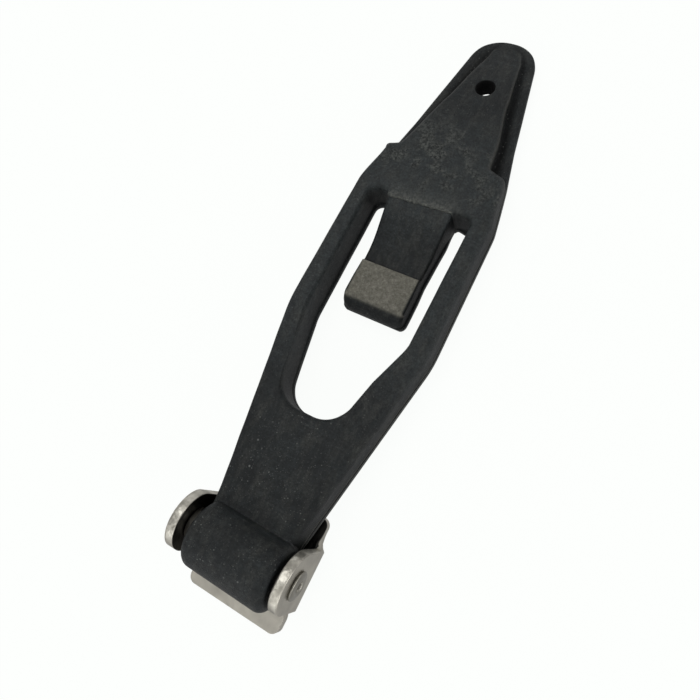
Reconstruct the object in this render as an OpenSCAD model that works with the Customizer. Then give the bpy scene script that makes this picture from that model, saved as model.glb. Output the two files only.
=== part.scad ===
// Flexible over-centre draw latch: a one-piece rubber strap that pivots in a folded steel bracket.
// Millimetres. X runs along the pivot, Y along the strap towards its pull tab, Z up.
// The origin lies on the bracket plate's underside, below the pivot.

/* [Bracket] */
// Thickness of the folded sheet
sheet_t = 2.0; // [1.5:0.1:2.5]
// Height of the pivot axis above the plate's underside
pivot_z = 10.7; // [10.2:0.1:11.5]
// Half distance between the inner faces of the ears
ear_inner_x = 11.1; // [10.8:0.1:12.0]
// Radius of each ear's round top, and half the ear's width
ear_r = 6.1; // [5.5:0.1:6.6]
// Inside radius of the two folds
fold_r = 1.2; // [0.8:0.1:1.4]
// Half width of the plate
plate_half_x = 11.1; // [10.9:0.1:11.3]
// Length of the plate ahead of the pivot
plate_front = 12.5; // [11:0.1:15]
// Length of the plate behind the pivot, below the strap
plate_rear = 11.8; // [11.6:0.1:15]
// Radius of the plate's corners
plate_corner_r = 1.7; // [1:0.1:3]
// Radius of the fillet between each ear's edge and the plate's side
relief_r = 1.4; // [0.8:0.1:1.6]
// Half spacing of the two screw holes
screw_x = 5.5; // [4.5:0.1:6.5]
// Distance of the screw holes behind the pivot
screw_y = 8.0; // [7.5:0.1:8.5]
// Radius of each screw hole
screw_r = 2.1; // [1.6:0.05:2.3]

/* [Pivot] */
// Radius of the rivet's shank
rivet_r = 2.5; // [2:0.05:2.6]
// Radius of the factory head
rivet_head_r = 4.4; // [3.6:0.1:5]
// Height of the factory head
rivet_head_h = 1.4; // [0.8:0.1:2]
// Radius of the head that is rolled over in assembly
rivet_clinch_r = 3.0; // [2.8:0.1:4]
// Height of the rolled head
rivet_clinch_h = 0.9; // [0.6:0.1:1.4]
// Radius of the drilled end inside the rolled head
rivet_dimple_r = 1.25; // [0.8:0.05:1.6]
// Outer radius of the spacer sleeve
sleeve_r = 3.3; // [3.1:0.05:3.6]
// Radial running clearance of the sleeve, the shank and the knuckle
running_gap = 0.05; // [0.02:0.01:0.1]

/* [Strap] */
// Angle at which the strap hangs down to the mounting surface
rest_tilt = 1.85; // [0:0.05:1.9]
// Height of the strap's underside before the tilt
strap_z0 = 2.9; // [2.8:0.05:3.4]
// Height of the strap's top before the tilt
strap_z1 = 11.7; // [11:0.05:12.5]
// Radius of the knuckle that turns on the sleeve
knuckle_r = 6.9; // [6.6:0.05:7.3]
// Distance by which the knuckle's centre lies ahead of the pivot
knuckle_shift = 0.4; // [0:0.05:0.6]
// Half length of the knuckle
knuckle_half = 9.6; // [9.4:0.05:10.2]
// Radius of the rounding at the knuckle's ends
knuckle_edge_r = 2.0; // [0.5:0.1:2.6]
// Half width of the strap where it leaves the knuckle
neck_half = 9.6; // [9.2:0.05:9.9]
// Half width of the strap at its widest point
bend_half = 16.3; // [15.6:0.05:16.8]
// Distance from the pivot to the widest point
bend_y = 48.6; // [46:0.1:51]
// Height of the wider foot along the strap's sides
ledge_z = 5.6; // [4.5:0.1:7]
// Width by which the foot stands out, at the sides and into the window
ledge_step = 0.2; // [0.1:0.05:0.3]

/* [Window] */
// Distance from the pivot to the window's lower end
window_y = 28.1; // [26:0.1:32]
// Half width of the window between the rails
window_half = 12.0; // [11.5:0.05:12.5]
// Radius of the window's two lower corners
window_corner_r = 7.0; // [5:0.1:7.5]
// Distance from the pivot to the blind ends of the two slots
slot_end_y = 78.5; // [77.5:0.1:79.5]
// Distance from the pivot to the line on which the rails flex
flex_y = 70.0; // [67:0.1:71]
// Clearance left round the rails' round ends
flex_gap = 0.3; // [0.2:0.05:0.5]

/* [Handle] */
// Distance from the pivot to the shoulders of the handle
shoulder_y = 90.2; // [89.5:0.1:91]
// Half width of the handle at the slots' ends
handle_half = 15.75; // [15.2:0.05:15.8]
// Half width of the handle at its shoulders
shoulder_half = 13.7; // [13.6:0.05:14.2]
// Distance from the pivot to the end of the pull tab
tip_y = 124.5; // [120:0.1:130]
// Half width of the tab's flange at the shoulders
flange_half = 13.5; // [13:0.05:13.6]
// Half width of the tab's flange at its end, before the corners are rounded
flange_tip_half = 6.4; // [6.3:0.05:7.5]
// Radius of the tab's round end
tip_r = 7.2; // [5:0.1:7.5]
// Height of the flange's top before the tilt
flange_z1 = 7.2; // [6.6:0.05:7.8]
// Height of the flange's underside before the tilt
flange_z0 = 5.1; // [4.6:0.05:5.6]
// Height of the underside of the rib below the hole, before the tilt
rib_z = 4.2; // [3.8:0.05:4.6]
// Distance from the pivot to the hole in the tab
tab_hole_y = 110.1; // [108:0.1:112]
// Radius of the hole in the tab
tab_hole_r = 2.1; // [1.6:0.05:2.5]
// Height of the raised panel at that hole
panel_hole_z = 9.1; // [8.5:0.05:9.6]

/* [Tongue] */
// Distance from the pivot to the tongue's free end
tongue_y = 53.0; // [52:0.1:56]
// Distance from the pivot to the rear edge of the tongue's pad
pad_y = 63.5; // [61:0.1:65]
// Height of the pad before the tilt
pad_z = 8.5; // [8:0.05:9]
// Depth of the step from the pad down to the tongue's web
pad_step = 0.7; // [0.3:0.05:1.2]
// Half width of the tongue's top at its free end
tongue_half = 6.9; // [6.4:0.05:7.2]
// Half width of the tongue's top at its root
root_half = 7.3; // [6.9:0.05:7.4]

/* [Hidden] */
$fn = 96;
arc_steps = 10;
ear_outer_x = ear_inner_x + sheet_t;
fold_outer_r = fold_r + sheet_t;
bore_ear_r = rivet_r + running_gap;
bore_sleeve_r = rivet_r + running_gap;
bore_knuckle_r = sleeve_r + running_gap;
sleeve_half = ear_inner_x - 0.1;
body_h = strap_z1 - strap_z0;
rail_r = body_h / 2;
flex_z = strap_z0 + rail_r;
handle_y = flex_y + rail_r + flex_gap;
slot_r = (window_half - root_half) / 2;
reach = 200;

// Points of one rounded corner: p is the vertex with its radius, a and b are its neighbours.
function unit(v) = v / norm(v);
function turn(v, w) = acos(max(-1, min(1, unit(v) * unit(w))));
function plan(p) = [p[0], p[1]];
function corner(a, p, b) =
    let (u = unit(a - plan(p)),
         v = unit(b - plan(p)),
         half = turn(u, v) / 2,
         cut = p[2] / tan(half),
         centre = plan(p) + unit(u + v) * p[2] / sin(half),
         start = plan(p) + u * cut - centre,
         stop = plan(p) + v * cut - centre,
         sweep = turn(start, stop),
         side = start[0] * stop[1] - start[1] * stop[0] > 0 ? 1 : -1)
    [for (k = [0 : arc_steps])
        let (t = side * sweep * k / arc_steps)
        centre + [start[0] * cos(t) - start[1] * sin(t), start[0] * sin(t) + start[1] * cos(t)]];

// Outline through vertices [x, y, radius]; a radius of 0 keeps the corner sharp.
function rounded(pts) =
    let (n = len(pts))
    [for (i = [0 : n - 1])
        each pts[i][2] > 0
            ? corner(plan(pts[(i + n - 1) % n]), pts[i], plan(pts[(i + 1) % n]))
            : [plan(pts[i])]];

// Closed outline from its right-hand side, mirrored to the left.
function mirrored(side) =
    concat(side, [for (i = [len(side) - 1 : -1 : 0]) [-side[i][0], side[i][1], side[i][2]]]);

// Solid between heights a and b over a plan outline.
module slab(pts, a, b) {
    translate([0, 0, a])
        linear_extrude(b - a)
            polygon(rounded(pts));
}

// Solid of a side outline in Y and Z, w to each side of the middle.
module side_slab(pts, w) {
    rotate([90, 0, 90])
        linear_extrude(2 * w, center = true)
            polygon(rounded(pts));
}

// Cylinder along X, centred on X.
module rod(r, half, y, z) {
    translate([-half, y, z])
        rotate([0, 90, 0])
            cylinder(r = r, h = 2 * half);
}

// Turns the rubber about the pivot, down to the mounting surface.
module laid() {
    translate([0, 0, pivot_z])
        rotate([-rest_tilt, 0, 0])
            translate([0, 0, -pivot_z])
                children();
}

// One folded ear: a quarter bend, filleted into the plate's sides, and a round-topped plate, drilled.
module ear() {
    bend_x = ear_outer_x - fold_outer_r;
    root_y = ear_r + relief_r + 0.1;
    outline = [
        [bend_x, -root_y, 0],
        [plate_half_x, -root_y, 0],
        [plate_half_x, -ear_r, relief_r],
        [ear_outer_x + 1, -ear_r, 0],
        [ear_outer_x + 1, ear_r, 0],
        [plate_half_x, ear_r, relief_r],
        [plate_half_x, root_y, 0],
        [bend_x, root_y, 0]
    ];
    difference() {
        union() {
            intersection() {
                translate([bend_x, root_y + 1, fold_outer_r])
                    rotate([90, 0, 0])
                        cylinder(r = fold_outer_r, h = 2 * root_y + 2);
                slab(outline, 0, fold_outer_r);
            }
            translate([ear_inner_x, -ear_r, fold_outer_r])
                cube([sheet_t, 2 * ear_r, pivot_z - fold_outer_r]);
            translate([ear_inner_x, 0, pivot_z])
                rotate([0, 90, 0])
                    cylinder(r = ear_r, h = sheet_t);
        }
        translate([bend_x, reach / 2, fold_outer_r])
            rotate([90, 0, 0])
                cylinder(r = fold_r, h = reach);
        translate([ear_inner_x - 1, 0, pivot_z])
            rotate([0, 90, 0])
                cylinder(r = bore_ear_r, h = sheet_t + 2);
    }
}

// Base plate, with its sides cut back to the bend lines between the ears.
module plate() {
    neck_x = ear_outer_x - fold_outer_r;
    root_y = ear_r + relief_r + 0.1;
    side = [
        [plate_half_x, -plate_front, plate_corner_r],
        [plate_half_x, -root_y, 0],
        [neck_x, -root_y, 0],
        [neck_x, root_y, 0],
        [plate_half_x, root_y, 0],
        [plate_half_x, plate_rear, plate_corner_r]
    ];
    difference() {
        slab(mirrored(side), 0, sheet_t);
        for (s = [-1, 1])
            translate([s * screw_x, screw_y, -1])
                cylinder(r = screw_r, h = sheet_t + 2);
    }
}

module bracket() {
    color([0.66, 0.65, 0.62]) {
        plate();
        ear();
        mirror([1, 0, 0])
            ear();
    }
}

// Semi-tubular rivet: domed factory head at -X, rolled head with its drilled end at +X.
module pivot_rivet() {
    dome_r = (rivet_head_r * rivet_head_r + rivet_head_h * rivet_head_h) / (2 * rivet_head_h);
    color([0.72, 0.71, 0.68])
        translate([0, 0, pivot_z])
            rotate([0, 90, 0])
                difference() {
                    union() {
                        translate([0, 0, -ear_outer_x])
                            cylinder(r = rivet_r, h = 2 * ear_outer_x);
                        intersection() {
                            translate([0, 0, dome_r - ear_outer_x - rivet_head_h])
                                sphere(r = dome_r);
                            translate([0, 0, -ear_outer_x - rivet_head_h])
                                cylinder(r = rivet_head_r, h = rivet_head_h);
                        }
                        translate([0, 0, ear_outer_x])
                            rotate_extrude()
                                clinch_section();
                    }
                    translate([0, 0, ear_outer_x - 1.2])
                        cylinder(r = rivet_dimple_r, h = 4);
                }
}

// Half section of the rolled head, with a rounded rim.
module clinch_section() {
    rim = rivet_clinch_h / 2;
    square([rivet_clinch_r - rim, rivet_clinch_h]);
    translate([rivet_clinch_r - rim, rim])
        circle(r = rim);
}

module pivot_sleeve() {
    color([0.70, 0.70, 0.70])
        difference() {
            rod(sleeve_r, sleeve_half, 0, pivot_z);
            rod(bore_sleeve_r, sleeve_half + 1, 0, pivot_z);
        }
}

// Half section of the knuckle with rounded ends.
module knuckle_section() {
    square([knuckle_r - knuckle_edge_r, 2 * knuckle_half]);
    translate([0, knuckle_edge_r])
        square([knuckle_r, 2 * (knuckle_half - knuckle_edge_r)]);
    for (y = [knuckle_edge_r, 2 * knuckle_half - knuckle_edge_r])
        translate([knuckle_r - knuckle_edge_r, y])
            circle(r = knuckle_edge_r);
}

module knuckle() {
    translate([-knuckle_half, -knuckle_shift, pivot_z])
        rotate([0, 90, 0])
            rotate_extrude()
                knuckle_section();
}

// Outer side of the strap from the neck to the line y1, w wider all round.
function strap_side(w, y1) = [
    [neck_half + w, 0, 0],
    [neck_half + w, 6.6, 8],
    [bend_half + w, bend_y, 40],
    [bend_half + w - (bend_half - handle_half) * (y1 - bend_y) / (slot_end_y + 2 - bend_y), y1, 0]
];

// Right-hand side of the window, opened past the line y1.
function window_side(w, y1) = [
    [window_lower_x() + w, window_y, window_corner_r],
    [window_half + w, bend_y, 12],
    [window_half + w, y1, 0]
];
function window_lower_x() = window_half - (bend_y - window_y) * 0.2094;

// The lower rails end in half cylinders on the flex line.
module strap_blank() {
    slab(mirrored(strap_side(ledge_step, flex_y)), strap_z0, ledge_z);
    slab(mirrored(strap_side(0, flex_y)), ledge_z, strap_z1);
    intersection() {
        rod(rail_r, bend_half + ledge_step, flex_y, flex_z);
        union() {
            slab(mirrored(strap_side(ledge_step, flex_y + rail_r + 1)), strap_z0, ledge_z);
            slab(mirrored(strap_side(0, flex_y + rail_r + 1)), ledge_z, strap_z1);
        }
    }
}

module strap() {
    color([0.17, 0.18, 0.19])
        laid()
            difference() {
                union() {
                    knuckle();
                    strap_blank();
                }
                slab(mirrored(window_side(-ledge_step, flex_y + 10)), strap_z0 - 1, ledge_z);
                slab(mirrored(window_side(ledge_step, flex_y + 10)), ledge_z, strap_z1 + 1);
                rod(bore_knuckle_r, knuckle_half + 1, 0, pivot_z);
            }
}

// Bridge and rail ends: outline with S-shaped shoulders, w wider all round.
function bridge_side(w) = [
    [handle_half + w + 0.1, handle_y, 0],
    [handle_half + w, slot_end_y + 1, 12],
    [shoulder_half + w, shoulder_y + w, 1.8],
    [9.0, shoulder_y + w, 0]
];

module bridge() {
    difference() {
        union() {
            slab(mirrored(bridge_side(ledge_step)), strap_z0, ledge_z);
            slab(mirrored(bridge_side(0)), ledge_z, strap_z1);
        }
        for (s = [-1, 1])
            translate([s * (root_half + slot_r), 0, strap_z0 - 1]) {
                translate([0, slot_end_y - slot_r, 0])
                    cylinder(r = slot_r, h = body_h + 2);
                translate([-slot_r, handle_y - 1, 0])
                    cube([2 * slot_r, slot_end_y - slot_r - handle_y + 1, body_h + 2]);
            }
        slab([[-root_half - 1, handle_y - 1, 0], [root_half + 1, handle_y - 1, 0],
              [root_half + 1, handle_y, 0], [-root_half - 1, handle_y, 0]],
             strap_z0 - 1, strap_z1 + 1);
    }
}

// Plan and side outlines of the tongue; the side outline has the pad, the step and the sloped nose.
module tongue() {
    foot = 0.4;
    top_plan = [[tongue_half, tongue_y, 1.5], [tongue_half - 0.4, pad_y, 0],
                [root_half, slot_end_y - 1, 0], [root_half, slot_end_y + 1, 0]];
    foot_plan = [for (p = top_plan) [p[0] + (p[1] < slot_end_y - 2 ? foot : 0), p[1], p[2]]];
    web_z = pad_z - pad_step;
    side = [
        [tongue_y + 1.0, strap_z0, 0.8],
        [tongue_y, 4.6, 0.6],
        [tongue_y + 0.3, 6.2, 1.0],
        [tongue_y + 2.5, pad_z, 0.8],
        [pad_y, pad_z, 0],
        [pad_y + 0.3, web_z, 0],
        [slot_end_y - 0.8, strap_z1 - 0.6, 0],
        [slot_end_y + 1, strap_z1 - 0.6, 0],
        [slot_end_y + 1, strap_z0, 0]
    ];
    intersection() {
        side_slab(side, root_half + 1);
        union() {
            slab(mirrored(foot_plan), strap_z0 - 1, 4.8);
            slab(mirrored(top_plan), 4.8, strap_z1);
        }
    }
}

// Pull tab: a thin flange with a panel that slopes down to its round end.
module tab() {
    slope = (strap_z1 - panel_hole_z) / (tab_hole_y - 84);
    flange_plan = mirrored([
        [flange_half, shoulder_y - 4, 0],
        [flange_half, shoulder_y + 0.3, 0],
        [flange_tip_half, tip_y, tip_r]
    ]);
    panel_plan = mirrored([
        [11.5, shoulder_y - 1, 0],
        [9.9, shoulder_y + 1.2, 1.0],
        [5.4, tab_hole_y + 4, 3.0],
        [3.4, tip_y, 0]
    ]);
    rib_plan = mirrored([[4.2, 98, 0], [3.8, tab_hole_y + 4.4, 3]]);
    flange_shape = [
        [shoulder_y - 5, strap_z0, 0],
        [shoulder_y - 2, strap_z0, 0],
        [100, flange_z0, 6],
        [tip_y + 1, flange_z0, 0],
        [tip_y + 1, flange_z1, 0],
        [shoulder_y - 5, flange_z1, 0]
    ];
    panel_shape = [
        [84, flange_z1 - 1, 0],
        [84, strap_z1, 0],
        [tab_hole_y + 4, strap_z1 - slope * (tab_hole_y - 80), 12],
        [tip_y - 3.2, flange_z1, 0],
        [tip_y - 3.2, flange_z1 - 1, 0]
    ];
    intersection() {
        slab(flange_plan, strap_z0 - 1, strap_z1);
        side_slab(flange_shape, reach / 2);
    }
    intersection() {
        slab(panel_plan, flange_z1 - 1, strap_z1 + 1);
        side_slab(panel_shape, reach / 2);
    }
    slab(rib_plan, rib_z, flange_z0 + 0.5);
}

module handle() {
    color([0.20, 0.21, 0.22])
        laid()
            difference() {
                union() {
                    bridge();
                    tongue();
                    tab();
                }
                translate([0, tab_hole_y, strap_z0 - 2])
                    cylinder(r = tab_hole_r, h = body_h + 4);
            }
}

bracket();
pivot_rivet();
pivot_sleeve();
strap();
handle();
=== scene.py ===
"""Looks of a rubber over-centre draw latch with a folded stainless bracket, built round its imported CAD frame.

Shapes are written in millimetres in the strap's own frame, with the pivot axis at y = 0 and z = PIVOT_Z,
and `turned_down` brings them down to the mounting surface; `solid` scales them to metres.
"""
import math

import bmesh
import bpy
import numpy as np
from mathutils import Matrix, Vector


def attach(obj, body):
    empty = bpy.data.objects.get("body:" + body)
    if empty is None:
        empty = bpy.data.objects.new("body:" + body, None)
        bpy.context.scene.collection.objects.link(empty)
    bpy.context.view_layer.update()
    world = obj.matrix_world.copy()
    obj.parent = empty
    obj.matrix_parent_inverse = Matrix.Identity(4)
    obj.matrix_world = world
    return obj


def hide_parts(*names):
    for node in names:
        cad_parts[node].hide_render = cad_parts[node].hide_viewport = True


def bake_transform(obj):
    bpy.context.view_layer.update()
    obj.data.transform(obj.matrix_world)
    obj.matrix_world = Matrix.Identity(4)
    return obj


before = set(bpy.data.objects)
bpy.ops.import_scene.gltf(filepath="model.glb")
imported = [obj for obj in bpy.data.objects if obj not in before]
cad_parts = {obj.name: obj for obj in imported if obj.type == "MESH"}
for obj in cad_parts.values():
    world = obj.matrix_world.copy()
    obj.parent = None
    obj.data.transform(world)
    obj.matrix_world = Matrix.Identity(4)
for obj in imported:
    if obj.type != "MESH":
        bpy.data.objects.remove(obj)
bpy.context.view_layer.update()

MM = 0.001
PIVOT_Z = 10.7
REST_TILT = math.radians(1.85)
STRAP_TOP = 11.7
HOLE_Y = 110.1
HOLE_R = 2.1
HOLE_TOP = 9.1
PANEL_SLOPE = 0.1016
SCREW_Y = 8.0
SCREW_R = 2.1
SHEET_MM = 2.0


# ---------------------------------------------------------------- mesh tools

def turned_down(points):
    """The strap's rest position: a turn by REST_TILT about the pivot axis. Both sides are in millimetres."""
    x, y, z = points[..., 0], points[..., 1], points[..., 2] - PIVOT_Z
    c, s = math.cos(REST_TILT), math.sin(REST_TILT)
    return np.stack([x, y * c + z * s, PIVOT_Z - y * s + z * c], -1)


def quads(rows, cols, close_rows, close_cols):
    """Quad corners of a grid of rows x cols points; a closed direction joins its last line to its first."""
    r = np.arange(rows if close_rows else rows - 1)[:, None]
    c = np.arange(cols if close_cols else cols - 1)[None, :]
    r2, c2 = (r + 1) % rows, (c + 1) % cols
    corners = [r * cols + c, r * cols + c2, r2 * cols + c2, r2 * cols + c]
    return np.stack([np.broadcast_to(k, (r.size, c.size)) for k in corners], -1).reshape(-1, 4)


def solid(name, patches, tilt=False, weld=1e-6, attributes=None):
    """A mesh from grid patches (points, close_rows, close_cols) in millimetres, welded where they meet.
    attributes gives a value for each vertex of the patches, in their order."""
    points = np.concatenate([p.reshape(-1, 3) for p, _, _ in patches])
    faces, base = [], 0
    for p, close_rows, close_cols in patches:
        faces.append(quads(p.shape[0], p.shape[1], close_rows, close_cols) + base)
        base += p.shape[0] * p.shape[1]
    faces = np.concatenate(faces)
    points = (turned_down(points) if tilt else points) * MM
    mesh = bpy.data.meshes.new(name)
    mesh.vertices.add(len(points))
    mesh.vertices.foreach_set("co", points.astype(np.float32).ravel())
    mesh.loops.add(faces.size)
    mesh.loops.foreach_set("vertex_index", faces.astype(np.int32).ravel())
    mesh.polygons.add(len(faces))
    mesh.polygons.foreach_set("loop_start", np.arange(0, faces.size, 4, dtype=np.int32))
    mesh.update(calc_edges=True)
    for key, values in (attributes or {}).items():
        layer = mesh.attributes.new(key, "FLOAT", "POINT")
        layer.data.foreach_set("value", np.concatenate([v.ravel() for v in values]).astype(np.float32))
    return finished(name, mesh, weld)


def finished(name, mesh, weld):
    """Welds doubles, turns the faces outwards and shades them smooth."""
    b = bmesh.new()
    b.from_mesh(mesh)
    bmesh.ops.remove_doubles(b, verts=b.verts, dist=weld)
    bmesh.ops.dissolve_degenerate(b, dist=weld, edges=b.edges)
    bmesh.ops.recalc_face_normals(b, faces=b.faces)
    b.to_mesh(mesh)
    b.free()
    mesh.polygons.foreach_set("use_smooth", np.ones(len(mesh.polygons), bool))
    mesh.update()
    obj = bpy.data.objects.new(name, mesh)
    bpy.context.scene.collection.objects.link(obj)
    return obj


def arc(a, p, r, b, n=14):
    """Points of the arc of radius r that rounds the corner p between the legs a-p and p-b."""
    u = (a - p) / np.linalg.norm(a - p)
    v = (b - p) / np.linalg.norm(b - p)
    half = math.acos(max(-1.0, min(1.0, float(u @ v)))) / 2
    centre = p + (u + v) / np.linalg.norm(u + v) * r / math.sin(half)
    s, e = p + u * r / math.tan(half) - centre, p + v * r / math.tan(half) - centre
    t = np.linspace(0, math.atan2(s[0] * e[1] - s[1] * e[0], float(s @ e)), n)
    return centre + np.stack([s[0] * np.cos(t) - s[1] * np.sin(t), s[0] * np.sin(t) + s[1] * np.cos(t)], 1)


def rounded(vertices):
    """A plan line through vertices (x, y, radius), with an arc at each one whose radius isn't 0."""
    v = np.asarray(vertices, float)
    parts = [v[:1, :2]]
    for k in range(1, len(v) - 1):
        parts.append(arc(v[k - 1, :2], v[k, :2], v[k, 2], v[k + 1, :2]) if v[k, 2] > 0 else v[k:k + 1, :2])
    return np.concatenate(parts + [v[-1:, :2]])


def spaced(line, keys, counts):
    """Points and right-hand normals along a line. counts[k] equal steps lie between its points nearest
    keys[k] and keys[k + 1], so that lines with the same counts match station by station."""
    run = np.concatenate([[0], np.cumsum(np.linalg.norm(np.diff(line, axis=0), axis=1))])
    fine = np.arange(0, run[-1], 0.02)
    dense = np.stack([np.interp(fine, run, line[:, 0]), np.interp(fine, run, line[:, 1])], 1)
    tangent = np.gradient(dense, axis=0)
    tangent /= np.linalg.norm(tangent, axis=1, keepdims=True)
    at = [fine[np.argmin(np.linalg.norm(dense - np.array(k), axis=1))] for k in keys]
    steps = [np.linspace(a, b, n, endpoint=False) for a, b, n in zip(at, at[1:], counts)]
    s = np.concatenate(steps + [at[-1:]])
    pick = [np.interp(s, fine, c) for c in (dense[:, 0], dense[:, 1], tangent[:, 1], -tangent[:, 0])]
    normal = np.stack(pick[2:], 1)
    return np.stack(pick[:2], 1), normal / np.linalg.norm(normal, axis=1, keepdims=True)


def whole(half, sign=-1):
    """The closed loop from its right half: the same stations in reverse, with x turned over."""
    left = half[1:-1][::-1].copy()
    if half.ndim > 1:
        left[:, 0] *= sign
    return np.concatenate([half, left])


def table(y, knots, soften=1.0):
    """A height over y through knots (y, height), softened over +-soften millimetres."""
    k = np.array(knots, float)
    offsets = np.linspace(-soften, soften, 9)
    return np.mean([np.interp(y + o, k[:, 0], k[:, 1]) for o in offsets], axis=0)


def smooth(x, a, b):
    """0 before a, 1 after b, and an S-curve between."""
    t = np.clip((x - a) / (b - a), 0, 1)
    return t * t * (3 - 2 * t)


def ripple(x, y, seed):
    """A fixed sum of sines over the plan, from -1 to 1, for outlines that aren't quite even."""
    r = np.random.default_rng(seed)
    waves = r.uniform(0.5, 3.2, (7, 2)) * r.choice([-1, 1], (7, 2))
    phase = r.uniform(0, 6.28, 7)
    return sum(np.sin(w[0] * x + w[1] * y + p) for w, p in zip(waves, phase)) / 7


# ---------------------------------------------------------------- strap moulding

def top_height(y):
    """Top of the moulding: level over the web, rails and bridge, then the panel's slope down to the tab's
    end."""
    return table(y, [(-20, STRAP_TOP), (84.5, STRAP_TOP), (HOLE_Y, HOLE_TOP), (114, 8.6), (120.5, 7.35),
                     (125, 6.75), (140, 6.7)])


def under_height(x, y):
    """Underside: level, raised where it runs into the knuckle and under the tab's flange, with a low rib
    along the middle of the tab below its hole."""
    level = table(y, [(-20, 4.6), (3.6, 4.6), (7, 2.9), (88, 2.9), (99, 5.1), (140, 5.1)], 0.6)
    rib = 0.9 * (1 - smooth(np.abs(x), 3.4, 4.6)) * smooth(y, 97, 100) * (1 - smooth(y, 114, 116))
    return level - rib


COUNTS = [30, 64, 44, 60, 28, 22, 26, 84, 40]
# Plan lines (x, y, corner radius) of the right half, from the web's middle to the tab's or bridge's middle,
# each with the points that its stations are matched at.
WINDOW_LINE = [(0, 28.1, 0), (7.707, 28.1, 7.0), (12.0, 48.6, 12.0), (12.0, 78.7, 2.1), (7.6, 78.7, 0.5),
               (7.6, 78.0, 0.3), (0, 78.0, 0)]
WINDOW_KEYS = [(0, 28.1), (2.6, 28.1), (9.6, 37.1), (12.0, 48.6), (12.0, 76.0), (9.9, 78.7), (7.6, 78.3),
               (7.2, 78.0), (3.4, 78.0), (0, 78.0)]
WINDOW_TOP_LINE = [(0, 26.7, 0), (8.6, 26.7, 8.2), (13.05, 48.6, 13.0), (13.05, 79.8, 3.0), (7.3, 79.8, 1.4),
                   (7.1, 78.3, 0.6), (0, 78.2, 0)]
WINDOW_TOP_KEYS = [(0, 26.7), (2.6, 26.7), (10.6, 36.8), (13.05, 48.6), (13.05, 75.6), (10.2, 79.8),
                   (7.35, 79.1), (6.6, 78.3), (3.4, 78.25), (0, 78.2)]
TOP_LINE = [(0, 4.4, 0), (8.6, 4.4, 1.6), (8.1, 9.0, 6.0), (14.6, 48.6, 30.0), (14.0, 79.5, 12.0),
            (12.6, 88.6, 1.4), (8.9, 89.7, 2.0), (7.75, 98.25, 10), (5.85, 105.6, 8), (5.35, 108.9, 8),
            (3.6, 118.6, 3), (2.6, 121.0, 2.0), (0, 121.3, 0)]
TOP_KEYS = [(0, 4.4), (7.6, 4.5), (11.1, 29.0), (14.5, 48.6), (14.1, 76.5), (13.2, 84.0), (11.8, 88.8),
            (8.7, 90.8), (3.7, 118.0), (0, 121.3)]
BODY_LINE = [(0, 3.6, 0), (9.3, 3.6, 1.0), (9.4, 6.0, 4), (9.8, 9.0, 6.0), (16.3, 48.6, 30.0),
             (15.7, 79.5, 12.0), (13.9, 90.1, 1.7), (9.75, 91.1, 1.0), (8.78, 98.25, 10), (6.74, 105.6, 8),
             (6.26, 108.9, 8), (4.5, 118.8, 4), (3.2, 122.0, 2.0), (0, 122.4, 0)]
BODY_KEYS = [(0, 3.6), (8.6, 3.6), (12.6, 29.0), (16.2, 48.6), (15.8, 76.5), (14.8, 84.5), (13.0, 90.3),
             (9.9, 91.4), (4.6, 118.2), (0, 122.4)]
FOOT_LINE = [(0, 3.1, 0), (9.35, 3.1, 1.0), (9.5, 6.0, 4), (10.0, 9.0, 6.0), (16.46, 48.6, 30.0),
             (15.88, 79.5, 12.0), (13.9, 90.3, 3.0), (11.86, 98.5, 12), (10.45, 105.3, 12),
             (6.4, 124.5, 7.3), (0, 124.5, 0)]
FOOT_KEYS = [(0, 3.1), (8.6, 3.1), (12.8, 29.0), (16.4, 48.6), (16.0, 76.5), (15.0, 84.5), (13.7, 90.6),
             (13.2, 92.6), (7.4, 120.4), (0, 124.5)]


def askew(plan, left, right):
    """plan moved along X by distances given over Y for its left and right side, blended across the middle.
    The moulding isn't quite even: its window lies off centre near the web."""
    side = smooth(plan[:, 0], -3.0, 3.0)
    by_y = [np.interp(plan[:, 1], *np.array(side_table, float).T) for side_table in (left, right)]
    return np.stack([plan[:, 0] + by_y[0] * (1 - side) + by_y[1] * side, plan[:, 1]], 1)


WALL_LEFT = [(24, -1.3), (28.9, -0.8), (32, -0.35), (38.5, -0.25), (47, 0), (80, 0)]
WALL_RIGHT = [(24, -1.5), (28.9, -1.6), (30.2, -1.8), (31.6, -2.0), (35, -2.0), (40, -1.8), (46.7, -0.85),
              (49.5, -0.45), (76, -0.35), (79, 0)]
CREST_LEFT = [(24, -1.2), (28.9, -0.4), (32.8, 0.6), (40, 0.8), (46.5, 0.55), (50, 0.5), (76, 0.4), (79, 0)]
CREST_RIGHT = [(24, -1.5), (28.9, -1.9), (32, -2.4), (35, -2.4), (40, -2.2), (46.7, -1.2), (49.5, -0.8),
               (76, -0.6), (79, 0)]
PANEL_LEFT = [(89, 0), (91.3, -1.3), (94, -0.9), (98, -0.35), (105, -0.35), (109, 0.2), (113, 0.35),
              (119, 0.9), (121, 0.3)]
EVEN = [(0, 0), (130, 0)]


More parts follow.
